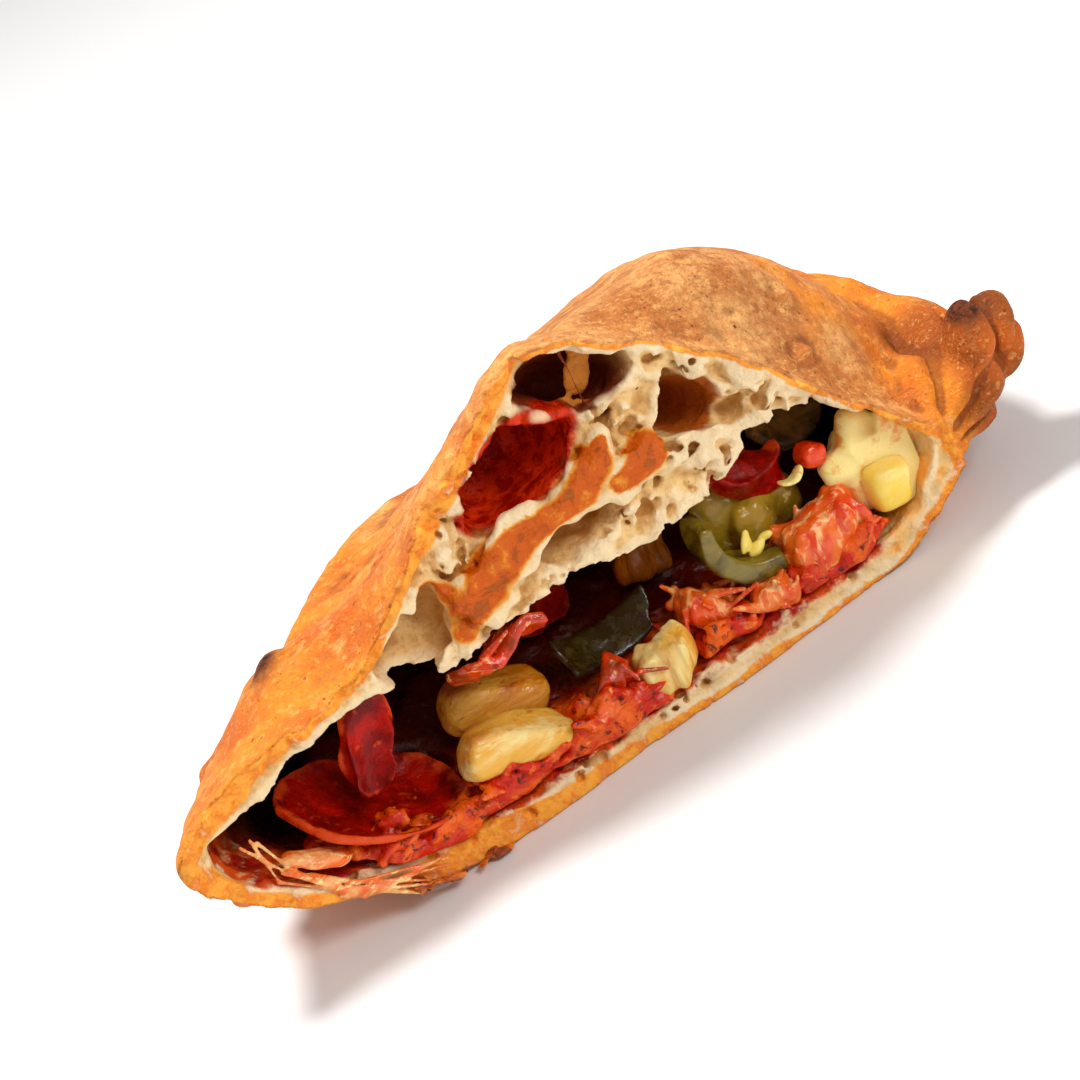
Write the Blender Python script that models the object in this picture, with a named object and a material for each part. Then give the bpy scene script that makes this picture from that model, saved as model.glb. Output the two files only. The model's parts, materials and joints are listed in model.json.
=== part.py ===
"""Half of a baked calzone, cut across, in metres with +Z up.

The dough is one shell: a flat base, a folded nose at -X, a puffed dome, a rope crimp that follows the seam at +X and
round the back, and caverns in the crumb that open on the cut face at -Y. The filling lies inside as separate solids.
Lengths below are in millimetres in the section frame, whose x runs from the nose to the seam, y from the cut to the
back and z up from the base. place() carries a point from there to the part's own frame.
"""

import math

import bmesh
import bpy
from mathutils import Euler, Matrix, Vector, noise

MM = 0.001
SIZE = 0.935  # the half's size against the section frame's
ORIGIN_X = 88.0
ORIGIN_Y = 50.0

# The dough's outer form.
DEPTH = 106.0
HALF_WIDTH = 81.5
MIDDLE_X = 81.5
BACK_SHIFT = 20.0
BACK_END = 0.995
CROWN_HEIGHT = 72.0
FOLD_HEIGHT = 32.0
BACK_FOLD_HEIGHT = 15.0
SEAM_HEIGHT = 16.0
PEAK_LIFT = 8.0
EDGE_SAG = 10.0
NOSE_ROUND = 4.0

# The walls round the hollow.
BASE_CRUST = 5.2
SKIN = 4.6
FOLD_WALL = 5.0
SEAM_WALL = 12.0
HOLLOW_DEPTH = 76.0
ROOF_HEIGHT = 38.0

GAP = 0.4  # left between neighbouring solids

# The rope crimp.
LOBE_SPACING = 15.0
LOBE_RADII = (19.0, 7.8, 8.8)
LOBE_TILT = math.radians(14)

CRUST = (0.72, 0.40, 0.15)
SAUCE = (0.50, 0.05, 0.02)
PEPPERONI = (0.45, 0.06, 0.03)
HAM = (0.72, 0.28, 0.20)
PINEAPPLE = (0.85, 0.70, 0.30)
PEPPER = (0.22, 0.28, 0.06)
CHEESE = (0.90, 0.78, 0.48)
TOMATO = (0.68, 0.12, 0.05)
MUSHROOM = (0.42, 0.36, 0.24)
ONION = (0.75, 0.62, 0.42)


def ease(low, high, value):
    """0 below low, 1 above high, smooth between."""
    t = min(max((value - low) / (high - low), 0.0), 1.0)
    return t * t * (3 - 2 * t)


def mix(a, b, t):
    return a + (b - a) * t


def bell(value, centre, width):
    return math.exp(-(((value - centre) / width) ** 2))


def ripple(x, y, z, size, seed=0.0):
    """Smooth noise from about -1 to 1 whose bumps are size millimetres across."""
    return noise.noise(Vector((x / size + seed, y / size - seed, z / size + 2 * seed)))


# ---- the dough's outer form ----


def narrowing(y):
    """The share of the full width that is left at this depth."""
    return (1 - min(max(y, 0.0) / DEPTH, 1.0) ** 2.6) ** 0.62


def middle(y):
    """Where the section at this depth is centred, which drifts to +X with the slanting fold."""
    return MIDDLE_X + BACK_SHIFT * math.sin(math.pi / 2 * min(max(y, 0.0) / 75, 1.0))


def left(y):
    return middle(y) - HALF_WIDTH * narrowing(y)


def right(y):
    return middle(y) + HALF_WIDTH * narrowing(y)


def across(x, y):
    """0 at the nose and 1 at the seam."""
    return min(max((x - left(y)) / (right(y) - left(y)), 0.0), 1.0)


def fold_height(y):
    return mix(BACK_FOLD_HEIGHT, FOLD_HEIGHT, math.exp(-((y / 34) ** 2)))


def rim_height(u, y):
    return mix(fold_height(y), SEAM_HEIGHT, u)


def nose(u, width):
    """The quick rounding of the nose, which fades out along the section."""
    reach = 1 - min(u / width, 1.0)
    return math.sqrt(1 - reach * reach) * (1 - ease(width, 6 * width, u))


def top(x, y):
    """The height of the dough's upper side."""
    y = max(y, 0.0)
    u = across(x, y)
    rim = rim_height(u, y)
    deep = ease(0, 30, y)
    peak = mix(0.575, 0.72, deep)
    if u < peak:
        side = (u - peak) / peak
        power = mix(1.3, 1.4, deep) + 0.5 * ease(40, 85, y)
    else:
        side = (u - peak) / (1 - peak)
        power = mix(1.3, 0.75, deep)
    crown = CROWN_HEIGHT * (1 - min(y / DEPTH, 0.999) ** 1.6) ** 0.6
    dome = max(crown - rim, 1.0) * math.cos(math.pi / 2 * side) ** power
    lift = PEAK_LIFT * bell(x, 94, 14) * bell(y, 0, 17)
    sag = EDGE_SAG * bell(x, 42, 18) * bell(y, 0, 12)
    puff = 8 * bell(x, 32, 18) * bell(y, 27, 17)
    bumps = 1.8 * ripple(x, y, 0, 26, 3.1) * ease(0.0, 0.15, u) * ease(0.0, 0.15, 1 - u)
    return rim + dome + NOSE_ROUND * nose(u, 0.05) + lift - sag + puff + bumps + 1.5


def bottom(x, y):
    """The height of the dough's underside, which is flat on the base."""
    y = max(y, 0.0)
    u = across(x, y)
    fold_reach = mix(0.29, 0.17, ease(0, 50, y))
    fold = fold_height(y) * max(1 - u / fold_reach, 0.0) ** 1.6
    seam = 13 * max(1 - (1 - u) / 0.14, 0.0) ** 1.4
    back = 0.7 * SEAM_HEIGHT * ease(DEPTH - 14, DEPTH, y) ** 1.5
    height = max(fold, seam, back)
    return max(height - 4 * nose(u, 0.04) * ease(6, 14, height), 0.0)


def roof(x, y):
    """The underside of the crumb that hangs over the filling."""
    hang = ROOF_HEIGHT - 5 * bell(x, 102, 8) - 3 * bell(x, 60, 8) + 2.5 * bell(x, 132, 9) + ripple(x, y, 0, 14, 8.4)
    return min(hang, top(x, y) - SKIN)


# ---- making solids ----


def place(x, y, z):
    return Vector((x - ORIGIN_X, y - ORIGIN_Y, z)) * SIZE * MM


def material(name, colour, roughness):
    made = bpy.data.materials.new(name)
    made.use_nodes = True
    shader = made.node_tree.nodes["Principled BSDF"]
    shader.inputs["Base Color"].default_value = (*colour, 1.0)
    shader.inputs["Roughness"].default_value = roughness
    shader.inputs["Metallic"].default_value = 0.0
    return made


def block(name, counts, form, finish=None, helper=False):
    """A closed solid: the skin of a unit cube, divided by counts, with each point carried by form(u, v, w)."""
    steps = bmesh.new()
    made = {}

    def point(i, j, k):
        if (i, j, k) not in made:
            made[i, j, k] = steps.verts.new(form(i / counts[0], j / counts[1], k / counts[2]))
        return made[i, j, k]

    for axis in range(3):
        a, b = [n for n in range(3) if n != axis]
        for end in (0, counts[axis]):
            for p in range(counts[a]):
                for q in range(counts[b]):
                    corners = []
                    for dp, dq in ((0, 0), (1, 0), (1, 1), (0, 1)):
                        index = [0, 0, 0]
                        index[axis] = end
                        index[a] = p + dp
                        index[b] = q + dq
                        corners.append(point(*index))
                    steps.faces.new(corners)
    bmesh.ops.recalc_face_normals(steps, faces=steps.faces)
    mesh = bpy.data.meshes.new(name)
    steps.to_mesh(mesh)
    steps.free()
    mesh.shade_smooth()
    made_object = bpy.data.objects.new(name, mesh)
    bpy.context.scene.collection.objects.link(made_object)
    if finish:
        mesh.materials.append(finish)
    if helper:
        hide(made_object)
    return made_object


def drop_slivers(mesh):
    """Removes the specks that a Boolean can leave beside the solid: any loose piece of a few points."""
    steps = bmesh.new()
    steps.from_mesh(mesh)
    unseen = set(steps.verts)
    while unseen:
        piece = {unseen.pop()}
        front = list(piece)
        while front:
            for edge in front.pop().link_edges:
                for vert in edge.verts:
                    if vert in unseen:
                        unseen.remove(vert)
                        piece.add(vert)
                        front.append(vert)
        if len(piece) < 30:
            bmesh.ops.delete(steps, geom=list(piece), context="VERTS")
    steps.to_mesh(mesh)
    steps.free()


def hide(helper):
    helper.hide_render = True
    helper.display_type = "WIRE"


def ball(name, centre, radii, turn=(0, 0, 0), counts=(5, 5, 5), lumps=0.0, square=1.0, finish=None, helper=False):
    """An egg shape, squared off towards a box by square over 1, with lumps millimetres of unevenness."""
    spin = Euler([math.radians(a) for a in turn]).to_matrix()

    def form(u, v, w):
        side = Vector((2 * u - 1, 2 * v - 1, 2 * w - 1))
        side = side.normalized() * mix(1.0, side.length, (square - 1) * 0.5)
        here = spin @ Vector([side[n] * radii[n] for n in range(3)]) + Vector(centre)
        if lumps:
            here += side.normalized() * lumps * ripple(*here, 7.0, centre[0])
        return place(*here)

    return block(name, counts, form, finish, helper)


def sheet(name, centre, size, thickness, turn, bend, counts, finish, round_plan=False):
    """A thin slice of food with an uneven edge. bend(u, v) lifts it by millimetres, u and v from -1 to 1."""
    spin = Euler([math.radians(a) for a in turn]).to_matrix()

    def form(u, v, w):
        a, b = 2 * u - 1, 2 * v - 1
        if round_plan:
            long = max(abs(a), abs(b))
            length = math.hypot(a, b)
            if length > 0:
                a, b = a * long / length, b * long / length
        edge = 1 + 0.08 * ripple(a * 9, b * 9, 0, 6.0, centre[0] / 7)
        flat = Vector((a * size[0] * edge, b * size[1] * edge, (w - 0.5) * thickness + bend(a, b)))
        return place(*(spin @ flat + Vector(centre)))

    return block(name, counts, form, finish)


def band(name, centre, radius, angles, width, thickness, counts, finish):
    """A strip curved round an axis along y, between two angles counted in degrees up from +x."""

    def form(u, v, w):
        angle = math.radians(mix(angles[0], angles[1], u))
        edge = 1 + 0.12 * ripple(u * 9, v * 9, 0, 5.0, centre[0] / 7)
        away = radius + (w - 0.5) * thickness * (1 - 0.4 * abs(2 * u - 1) ** 4)
        across_band = (v - 0.5) * width * edge
        return place(
            centre[0] + away * math.cos(angle), centre[1] + across_band, centre[2] + away * math.sin(angle)
        )

    return block(name, counts, form, finish)


def combine(target, others, operation):
    """Joins the others to the target or cuts them from it, in one applied Boolean, and removes them."""
    group = bpy.data.collections.new(target.name + "_" + operation.lower())
    bpy.context.scene.collection.children.link(group)
    for other in others:
        bpy.context.scene.collection.objects.unlink(other)
        group.objects.link(other)
    boolean = target.modifiers.new(operation.lower(), "BOOLEAN")
    boolean.operation = operation
    boolean.operand_type = "COLLECTION"
    boolean.collection = group
    boolean.solver = "EXACT"
    bpy.context.view_layer.update()
    graph = bpy.context.evaluated_depsgraph_get()
    joined = bpy.data.meshes.new_from_object(target.evaluated_get(graph))
    target.modifiers.remove(boolean)
    target.data = joined
    drop_slivers(joined)
    for other in others:
        bpy.data.objects.remove(other)
    bpy.data.collections.remove(group)


def grown(source, name):
    """A helper copy of a solid, larger by the gap all round."""
    mesh = source.data.copy()
    copy = bpy.data.objects.new(name, mesh)
    bpy.context.scene.collection.objects.link(copy)
    normals = [vertex.normal.copy() for vertex in mesh.vertices]
    for vertex, normal in zip(mesh.vertices, normals):
        vertex.co += normal * GAP * MM
    hide(copy)
    return copy


# ---- the dough ----


def dough_form(u, v, w):
    y = DEPTH * BACK_END * mix(v, math.sin(math.pi / 2 * v), 0.35)
    across_share = (1 - math.cos(math.pi * u)) / 2
    x = mix(left(y), right(y), across_share)
    low, high = bottom(x, y), top(x, y)
    z = mix(low, max(high, low + 3), w)
    wave = 2.5 * ripple(x, 0, z, 22, 5.5) * (1 - v) ** 6
    return place(x, y + wave, z)


def hollow_form(u, v, w):
    y = mix(-8.0, HOLLOW_DEPTH, v)
    depth = max(y, 0.0)
    across_share = (1 - math.cos(math.pi * u)) / 2
    x = mix(left(depth) + FOLD_WALL, right(depth) - SEAM_WALL, across_share)
    low = bottom(x, depth) + BASE_CRUST
    high = max(roof(x, depth), low + 2)
    shrink = 1 - 0.25 * ease(0.7, 1.0, v)
    return place(x, y, mix(low, mix(low, high, shrink), w))


def caverns():
    """The bubbles in the crumb that the knife opened, and the pockets under them."""
    return [
        ball("cavern_long", (82.5, 0, 61), (13.0, 17, 5.8), (-18, -28, 0), lumps=1.5, helper=True),
        ball("cavern_high", (97, 0, 69.5), (9.6, 13, 6.2), (-25, -8, 0), lumps=1.5, helper=True),
        ball("cavern_window", (114.5, 0, 56), (6.2, 20, 6.0), (-15, 20, 0), lumps=1.2, helper=True),
        ball("pocket_low", (88, -2, 46.5), (8.5, 13, 3.4), (0, -14, 0), lumps=0.8, helper=True),
        ball("pocket_fold", (55, 0, 44), (7, 13, 7.0), (-10, 20, 0), lumps=1.2, helper=True),
    ]


def seam_path():
    """Points along the seam, evenly spaced, from the cut's right end round the back."""
    depths = [5 + (DEPTH * BACK_END - 5) * math.sin(math.pi / 2 * step / 79) for step in range(80)]
    way = [Vector((right(y), y, 0)) for y in depths]
    spaced = [way[0]]
    run = 0.0
    for before, after in zip(way, way[1:]):
        run += (after - before).length
        if run >= LOBE_SPACING:
            spaced.append(after)
            run = 0.0
    return spaced


def rope_lobes():
    """The crimp's overlapping folds, each leaning along the seam, with the cut end's knuckles first."""
    lobes = [
        rope_lobe("finger", Vector((180.4, 10.5, 0)), 24.0, (4.4, 7.5, 9.6), Matrix.Rotation(0.2, 3, "Y")),
        rope_lobe("knuckle_high", Vector((173.4, 7.0, 0)), 26.0, (5.2, 6.6, 11.0), Matrix.Rotation(0.14, 3, "Y")),
        rope_lobe("shoulder", Vector((163.5, 11.5, 0)), 21.5, (9.5, 10.0, 8.0), Matrix.Rotation(0.1, 3, "Y")),
        rope_lobe("knuckle_low", Vector((167, 6.5, 0)), 19.5, (10.0, 7.0, 7.5), Matrix.Rotation(-0.2, 3, "Y")),
    ]
    way = seam_path()
    for number, here in enumerate(way[1:], 1):
        ahead = way[min(number + 1, len(way) - 1)]
        run = (ahead - way[number - 1]).normalized()
        spin = Matrix.Rotation(math.atan2(run.y, run.x), 3, "Z") @ Matrix.Rotation(-LOBE_TILT, 3, "Y")
        size = (1 - 0.4 * ease(0.5, 1.0, number / len(way))) * (1 + 0.08 * math.sin(2.3 * number))
        radii = [radius * size for radius in LOBE_RADII]
        centre = here + Vector((run.y, -run.x, 0)) * 1.5
        lobes.append(rope_lobe(f"lobe_{number}", centre, SEAM_HEIGHT + 3 * size, radii, spin))
    return lobes


def rope_lobe(name, centre, height, radii, spin):
    def form(u, v, w):
        side = Vector((2 * u - 1, 2 * v - 1, 2 * w - 1)).normalized()
        here = spin @ Vector([side[n] * radii[n] for n in range(3)]) + Vector((centre.x, centre.y, height))
        return place(here.x, here.y, max(here.z, 4.0))

    return block(name, (5, 4, 4), form, helper=True)


def make_dough():
    finish = material("baked_dough", CRUST, 0.7)
    dough = block("dough", (33, 17, 5), dough_form, finish)
    combine(dough, rope_lobes(), "UNION")
    hollow = block("hollow", (24, 10, 3), hollow_form, helper=True)
    combine(dough, [hollow, *caverns()], "DIFFERENCE")
    return dough


# ---- the filling ----


def floor_height(x, y):
    """The top of the dough under the filling."""
    return bottom(x, y) + BASE_CRUST


def sauce_form(u, v, w):
    y = mix(1.0, HOLLOW_DEPTH - 12, v)
    x = mix(left(y) + 16, right(y) - SEAM_WALL - 12, (1 - math.cos(math.pi * u)) / 2)
    low = floor_height(x, y) + GAP
    pile = 4.5 + 9 * ease(8, 36, y) - 4 * ease(40, HOLLOW_DEPTH - 12, y)
    lumps = 1.5 * ripple(x, y, 0, 9, 12.5)
    edge = min(u, 1 - u, 0.5 * (1 - v) + 0.02) / 0.12
    thick = max((pile + lumps) * min(edge, 1.0) ** 0.6, 2.2)
    return place(x, y, low + thick * w)


def make_filling():
    """The sauce bed, heaped towards the back, and the pieces that lie in and on it."""
    pieces = [
        *pepperoni_slices(),
        *pineapple_chunks(),
        *pepper_pieces(),
        *ham_pieces(),
        *cheese_pieces(),
        tomato_scrap(),
        onion_scrap(),
        mushroom_slice(),
    ]
    sauce = block("sauce", (24, 10, 2), sauce_form, material("sauce", SAUCE, 0.25))
    combine(sauce, [grown(piece, piece.name + "_cutter") for piece in pieces], "DIFFERENCE")


def pepperoni_slices():
    finish = material("pepperoni", PEPPERONI, 0.3)

    def cupped(a, b):
        return 4.0 * (a * a + b * b) ** 2

    def folded(a, b):
        return 5.5 * abs(a) ** 1.3

    return [
        sheet("pepperoni_floor", (35.6, 12.6, 14.9), (18, 14), 2.0, (10, 27.5, 0), cupped, (8, 8, 1), finish, True),
        sheet("pepperoni_hanging", (39.5, 11, 27.2), (5.0, 8.4), 1.6, (70, 25, 0), folded, (7, 6, 1), finish, True),
        sheet("pepperoni_back", (80, 29, 21.5), (9, 7), 1.6, (50, 10, 8), cupped, (7, 6, 1), finish, True),
        sheet("pepperoni_right", (126.5, 16.5, 27.0), (7, 5), 1.6, (35, 8, 0), cupped, (6, 5, 1), finish, True),
    ]


def pineapple_chunks():
    finish = material("pineapple", PINEAPPLE, 0.3)
    return [
        ball("pineapple_front", (62.6, 5.2, 14.5), (12.0, 5.2, 5.0), (8, 20, 4), (6, 4, 4), 0.7, 1.5, finish),
        ball("pineapple_behind", (65.6, 16.8, 17.6), (11.0, 5.2, 5.8), (0, 16, -4), (6, 4, 4), 0.7, 1.5, finish),
        ball("pineapple_shadow", (104.5, 22.5, 21.5), (5.2, 4.2, 5.2), (0, 10, 12), (4, 4, 4), 0.6, 1.9, finish),
        ball("pineapple_fibrous", (94.2, 4.2, 11.1), (6.6, 4.2, 5.0), (0, -8, 0), (5, 4, 4), 0.7, 1.8, finish),
    ]


def pepper_pieces():
    finish = material("green_pepper", PEPPER, 0.25)

    def curled(a, b):
        return 4.0 * a * a

    return [
        sheet("pepper_strip", (88.8, 14.6, 14.6), (10.5, 4.5), 2.6, (35, 4, 4), curled, (8, 3, 1), finish),
        band("pepper_ring", (121.5, 7.2, 25.0), 11.0, (162, 272), 6.4, 3.0, (9, 3, 1), finish),
        ball("pepper_flesh", (124.2, 15.2, 18.4), (6.6, 3.3, 4.8), (10, -20, 6), (5, 4, 3), 0.6, 1.5, finish),
    ]


def ham_pieces():
    finish = material("ham", HAM, 0.4)

    def waved(a, b):
        return 1.6 * math.sin(4 * a + b)

    return [
        sheet("ham_under_crumb", (68, 5.0, 32.2), (9.5, 3.2), 1.6, (-25, -2, 0), waved, (7, 3, 1), finish),
        sheet("ham_strip", (82.2, 4.6, 12.2), (6.4, 2.4), 2.2, (60, -46, 10), waved, (6, 3, 1), finish),
        ball("ham_shreds", (106.5, 8.5, 12.6), (6.5, 4.4, 3.2), (0, 36, 4), (6, 4, 3), 0.9, 1.5, finish),
        ball("ham_chunk", (131.8, 6.2, 13.4), (9.4, 4.6, 5.6), (0, -9, 4), (6, 4, 5), 1.0, 1.7, finish),
        ball("ham_scrap", (117.6, 3.8, 8.6), (5.0, 3.4, 2.4), (0, 10, 0), (4, 4, 3), 0.6, 1.5, finish),
    ]


def cheese_pieces():
    finish = material("melted_cheese", CHEESE, 0.35)
    return [
        ball("cheese_block", (146.8, 4.6, 13.8), (4.4, 3.6, 4.8), (0, 8, 0), (4, 4, 4), 0.4, 1.7, finish),
        ball("cheese_melt", (145.4, 12.8, 19.4), (5.0, 3.9, 7.0), (0, 12, 0), (4, 4, 5), 0.4, 1.5, finish),
        ball("cheese_pull", (21.6, 3.4, 19.8), (7.2, 3.2, 1.5), (0, 32, 0), (6, 3, 2), 0.4, 1.3, finish),
    ]


def tomato_scrap():
    finish = material("tomato", TOMATO, 0.3)
    return ball("tomato", (137.2, 9.0, 26.3), (2.9, 2.8, 2.8), (0, 20, 0), (4, 3, 3), 0.4, 1.8, finish)


def onion_scrap():
    finish = material("onion", ONION, 0.3)
    return band("onion", (130.6, 6.6, 28.0), 2.8, (200, 350), 3.0, 1.2, (5, 2, 1), finish)


def mushroom_slice():
    finish = material("mushroom", MUSHROOM, 0.4)

    def arched(a, b):
        return 2.0 * a * a

    return sheet("mushroom", (139.5, 21, 28.0), (8, 5.5), 2.8, (35, 10, 0), arched, (6, 4, 1), finish, True)


def main():
    for old in list(bpy.data.objects):
        bpy.data.objects.remove(old)
    make_dough()
    make_filling()


main()
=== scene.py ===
"""The looks of half a baked calzone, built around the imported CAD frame.

Lengths are in section millimetres unless a name says otherwise: x runs from the folded nose to the rope
crimp, y from the cut to the back and z up from the base. place() carries such points into the frame's metres.
The dough and the filling are grown as distance fields around their CAD solids, roughened with seeded noise
and skinned as meshes. A field is negative inside a solid and positive outside it.
"""

import json
import math

import bpy
import numpy as np
import openvdb
from mathutils import Euler, Matrix, Vector


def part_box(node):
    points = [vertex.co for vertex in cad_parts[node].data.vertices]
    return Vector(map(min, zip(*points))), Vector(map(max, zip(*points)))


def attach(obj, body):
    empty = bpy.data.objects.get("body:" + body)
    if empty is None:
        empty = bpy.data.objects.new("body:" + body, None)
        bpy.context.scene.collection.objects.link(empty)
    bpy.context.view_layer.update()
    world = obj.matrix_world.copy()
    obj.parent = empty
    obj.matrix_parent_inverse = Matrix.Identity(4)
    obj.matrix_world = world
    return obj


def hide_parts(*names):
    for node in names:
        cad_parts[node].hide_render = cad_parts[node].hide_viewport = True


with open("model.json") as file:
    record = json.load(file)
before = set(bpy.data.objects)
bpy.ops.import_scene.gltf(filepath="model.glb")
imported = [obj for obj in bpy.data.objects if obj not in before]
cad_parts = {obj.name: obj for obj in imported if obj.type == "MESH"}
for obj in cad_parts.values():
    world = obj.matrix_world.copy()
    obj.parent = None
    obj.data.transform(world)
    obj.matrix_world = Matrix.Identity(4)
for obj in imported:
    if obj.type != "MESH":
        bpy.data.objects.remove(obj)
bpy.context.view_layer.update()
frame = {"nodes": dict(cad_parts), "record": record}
SLOTS = {part["node"]: part["material_slot"] for part in frame["record"]["subparts"]}

SECTION_LENGTH = 185.11  # the dough's length along x
CUT_WAVE = 1.35  # how far the cut face bulges past y = 0
CUT_END, CRIMP_START = 161.0, 166.0  # where the flat cut stops along x, and where the whole crimp begins
dough_low, dough_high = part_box("dough")
UNIT = (dough_high.x - dough_low.x) / SECTION_LENGTH
ORIGIN = np.array([dough_low.x, dough_low.y + CUT_WAVE * UNIT, dough_low.z])

FINE = 0.5  # the dough's cube size
FILLING_FINE = 0.33
SAUCE_FINE = max(0.5, FILLING_FINE)
FAR = 5.0  # the distance that an empty field holds
ROOM = 4.0  # left round a filling's solid for what is added to it


# ---- points, noise and distance fields ----


def place(points):
    """Section millimetres to the frame's metres."""
    return np.asarray(points, float) * UNIT + ORIGIN


def unplace(points):
    """The frame's metres to section millimetres."""
    return (np.asarray(points, float) - ORIGIN) / UNIT


def ease(low, high, value):
    """0 below low, 1 above high, smooth between."""
    t = np.clip((value - low) / (high - low), 0.0, 1.0)
    return t * t * (3 - 2 * t)


def bell(value, centre, width):
    """1 at centre, falling away smoothly on both sides."""
    return np.exp(-(((value - centre) / width) ** 2))


def spin_matrix(turn):
    """The rotation of three angles in degrees."""
    return np.array(Euler([math.radians(a) for a in turn]).to_matrix())


def egg_length(points, centre, radii, turn):
    """How far each point is from an egg's centre, as a share of the way to its shell."""
    return np.linalg.norm((points - np.asarray(centre, float)) @ spin_matrix(turn) / radii, axis=1)


def line_share(points, way):
    """1 on a line of (x, z, half width) places across the cut, falling to 0 past its half width."""
    share = np.zeros(len(points))
    for (x, z, wide), (next_x, next_z, next_wide) in zip(way, way[1:]):
        run = np.array([next_x - x, next_z - z])
        offset = points[:, [0, 2]] - (x, z)
        t = np.clip(offset @ run / (run @ run), 0, 1)
        gap = np.linalg.norm(offset - t[:, None] * run, axis=1) / (wide + (next_wide - wide) * t)
        share = np.maximum(share, 1 - ease(0.7, 1.2, gap))
    return share


def spline_rows(count, step, size, shift):
    """Cubic B-spline weights: one row for each of count places, one column for each noise lattice point."""
    places = np.arange(count) * step / size + shift + 1
    base = np.floor(places).astype(int)
    t = places - base
    rows = np.zeros((count, base.max() + 3), np.float32)
    weights = ((1 - t) ** 3, 3 * t**3 - 6 * t**2 + 4, -3 * t**3 + 3 * t**2 + 3 * t + 1, t**3)
    for offset, weight in enumerate(weights):
        rows[np.arange(count), base + offset - 1] += weight / 6
    return rows


class Block:
    """A box of space divided into small cubes, with a number kept at every corner."""

    def __init__(self, low, high, step):
        self.step = step
        self.first = np.floor(np.asarray(low, float) / step).astype(int)
        self.shape = tuple(np.ceil(np.asarray(high, float) / step).astype(int) - self.first + 1)
        self.low = self.first * step

    def axis(self, number):
        line = self.low[number] + self.step * np.arange(self.shape[number], dtype=np.float32)
        return line.reshape([-1 if n == number else 1 for n in range(3)])

    def axes(self):
        return self.axis(0), self.axis(1), self.axis(2)

    def open_field(self):
        """A field with no solid in it."""
        return np.full(self.shape, FAR, np.float32)

    def transform(self):
        return openvdb.createLinearTransform(voxelSize=self.step)

    def distance(self, points, faces, reach):
        """Signed distance to a closed mesh, negative inside, exact to reach millimetres."""
        grid = openvdb.FloatGrid.createLevelSetFromPolygons(
            np.asarray(points, np.float32),
            triangles=np.asarray(faces, np.uint32),
            transform=self.transform(),
            halfWidth=max(reach / self.step, 3),
        )
        values = np.full(self.shape, reach, np.float32)
        grid.copyToArray(values, ijk=tuple(int(n) for n in self.first))
        return values

    def skin(self, values):
        """The points and triangles of the surface where values are 0."""
        grid = openvdb.FloatGrid(2 * self.step)
        clipped = np.clip(values, -2 * self.step, 2 * self.step)
        grid.copyFromArray(clipped, ijk=tuple(int(n) for n in self.first))
        grid.transform = self.transform()
        points, triangles, quads = grid.convertToPolygons(isovalue=0.0)
        faces = np.vstack([triangles, quads[:, [0, 1, 2]], quads[:, [0, 2, 3]]]).astype(int)
        a, b, c = (points[faces[:, n]] for n in range(3))
        if np.einsum("ij,ij->i", a, np.cross(b, c)).sum() < 0:
            faces = faces[:, ::-1]
        return points.astype(float), faces

    def noise(self, size, seed):
        """Smooth noise of about -1 to 1 whose lumps are size millimetres, or three sizes, across."""
        sizes = np.broadcast_to(size, 3)
        draw = np.random.default_rng(seed)
        rows = [spline_rows(n, self.step, s, draw.random()) for n, s in zip(self.shape, sizes)]
        values = draw.uniform(-2.5, 2.5, [row.shape[1] for row in rows]).astype(np.float32)
        for row in rows:
            values = np.tensordot(values, row, axes=(0, 1))
        return values

    def crests(self, size, seed):
        """Noise with sharp crests: 0 on the crests and up to about 1 between them."""
        return np.abs(self.noise(size, seed))

    def window(self, centre, reach):
        """Slices of the part within reach of centre, and the offsets from centre there."""
        slices, offsets = [], []
        for n in range(3):
            start = int(max(np.floor((centre[n] - reach - self.low[n]) / self.step), 0))
            stop = int(min(np.ceil((centre[n] + reach - self.low[n]) / self.step) + 1, self.shape[n]))
            stop = max(stop, start)
            slices.append(slice(start, stop))
            line = self.low[n] + self.step * np.arange(start, stop) - centre[n]
            offsets.append(line.reshape([-1 if k == n else 1 for k in range(3)]))
        return tuple(slices), offsets

    def sample(self, values, points):
        """values at any points, by linear interpolation."""
        spots = (np.asarray(points) - self.low) / self.step
        spots = np.clip(spots, 0, np.array(self.shape) - 1.001)
        base = spots.astype(int)
        share = spots - base
        total = np.zeros(len(spots))
        for corner in np.ndindex(2, 2, 2):
            weight = np.prod(np.where(corner, share, 1 - share), axis=1)
            total += weight * values[tuple((base + corner).T)]
        return total


def blur(values, width):
    """A Gaussian blur, width cubes wide, along each axis in turn."""
    reach = int(math.ceil(2.5 * width))
    taps = np.exp(-0.5 * (np.arange(-reach, reach + 1) / width) ** 2)
    taps /= taps.sum()
    for axis in range(3):
        padded = np.pad(values, [(reach, reach) if n == axis else (0, 0) for n in range(3)], mode="edge")
        length = values.shape[axis]
        total = np.zeros_like(values)
        for offset, tap in enumerate(taps):
            cut = [slice(None)] * 3
            cut[axis] = slice(offset, offset + length)
            total += np.float32(tap) * padded[tuple(cut)]
        values = total
    return values


def egg(block, values, centre, radii, turn=(0, 0, 0), soft=0.0, carve=False):
    """Adds an egg to the field, or carves an egg-shaped hollow out of it."""
    spin = spin_matrix(turn)
    slices, (dx, dy, dz) = block.window(centre, max(radii) + 3 * soft + 1.5)
    along = [spin[0, n] * dx + spin[1, n] * dy + spin[2, n] * dz for n in range(3)]
    length = np.sqrt(sum((a / r) ** 2 for a, r in zip(along, radii)))
    body = (length - 1) * min(radii)
    if carve:
        values[slices] = -blend_low(-values[slices], body, soft)
    else:
        values[slices] = blend_low(values[slices], body, soft)


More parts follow.
